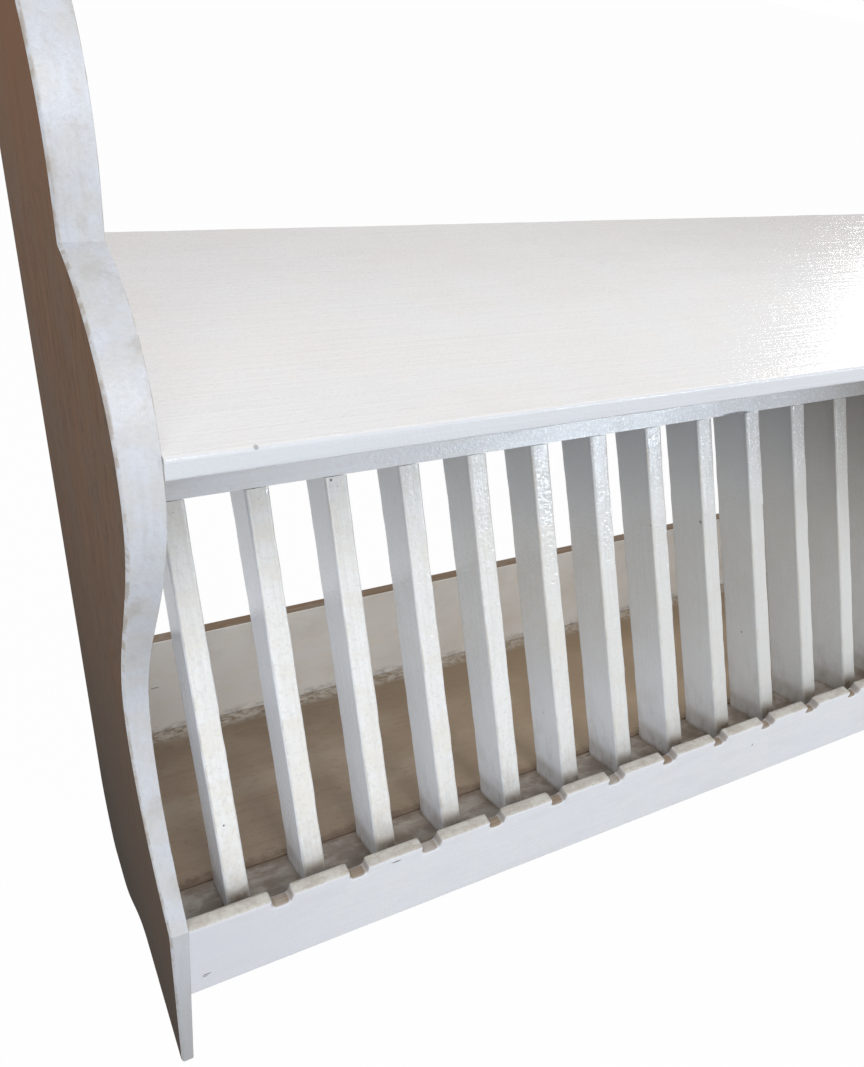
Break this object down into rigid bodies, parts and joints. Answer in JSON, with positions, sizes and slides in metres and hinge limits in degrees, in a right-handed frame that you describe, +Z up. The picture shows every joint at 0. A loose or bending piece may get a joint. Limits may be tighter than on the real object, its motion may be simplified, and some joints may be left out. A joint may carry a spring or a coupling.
{
  "type": "wall plate rack",
  "caption": "Wall-hung painted plate rack with a shelf, a leaning grille of slats, a sloping tray with a notched front rail, and shaped side boards.",
  "frame": {"origin": "middle of the back rail's wall face", "axes": "+X along the rack to the right as seen from the room, +Y into the wall, +Z up"},
  "size_m": [0.9294, 0.268, 0.7131],
  "materials": {
    "painted_wood": "brushed cream-white gloss paint",
    "worn_wood": "worn and dirty cream paint",
    "bare_wood": "worn bare wood, stained brown",
    "nail_steel": "plain drawn wire"
  },
  "bodies": {
    "root": {"left_side": "painted_wood", "right_side": "painted_wood", "shelf": "painted_wood", "top_rail": "painted_wood", "slat_01": "painted_wood", "slat_02": "painted_wood", "slat_03": "painted_wood", "slat_04": "painted_wood", "slat_05": "painted_wood", "slat_06": "painted_wood", "slat_07": "painted_wood", "slat_08": "painted_wood", "slat_09": "painted_wood", "slat_10": "painted_wood", "slat_11": "painted_wood", "slat_12": "painted_wood", "slat_13": "painted_wood", "slat_14": "painted_wood", "slat_15": "painted_wood", "slat_16": "painted_wood", "slat_sill": "worn_wood", "front_rail": "worn_wood", "back_rail": "worn_wood", "tray_floor": "bare_wood", "left_nail_01": "nail_steel", "left_nail_02": "nail_steel", "left_nail_03": "nail_steel", "left_nail_04": "nail_steel", "left_nail_05": "nail_steel", "left_nail_06": "nail_steel", "left_nail_07": "nail_steel", "left_nail_08": "nail_steel", "right_nail_01": "nail_steel", "right_nail_02": "nail_steel", "right_nail_03": "nail_steel", "right_nail_04": "nail_steel", "right_nail_05": "nail_steel", "right_nail_06": "nail_steel", "right_nail_07": "nail_steel", "right_nail_08": "nail_steel", "slat_brad_01": "nail_steel", "slat_brad_02": "nail_steel", "slat_brad_03": "nail_steel", "slat_brad_04": "nail_steel", "slat_brad_05": "nail_steel", "slat_brad_06": "nail_steel", "slat_brad_07": "nail_steel", "slat_brad_08": "nail_steel", "slat_brad_09": "nail_steel", "slat_brad_10": "nail_steel", "slat_brad_11": "nail_steel", "slat_brad_12": "nail_steel", "slat_brad_13": "nail_steel", "slat_brad_14": "nail_steel", "slat_brad_15": "nail_steel", "slat_brad_16": "nail_steel"}
  },
  "joints": []
}
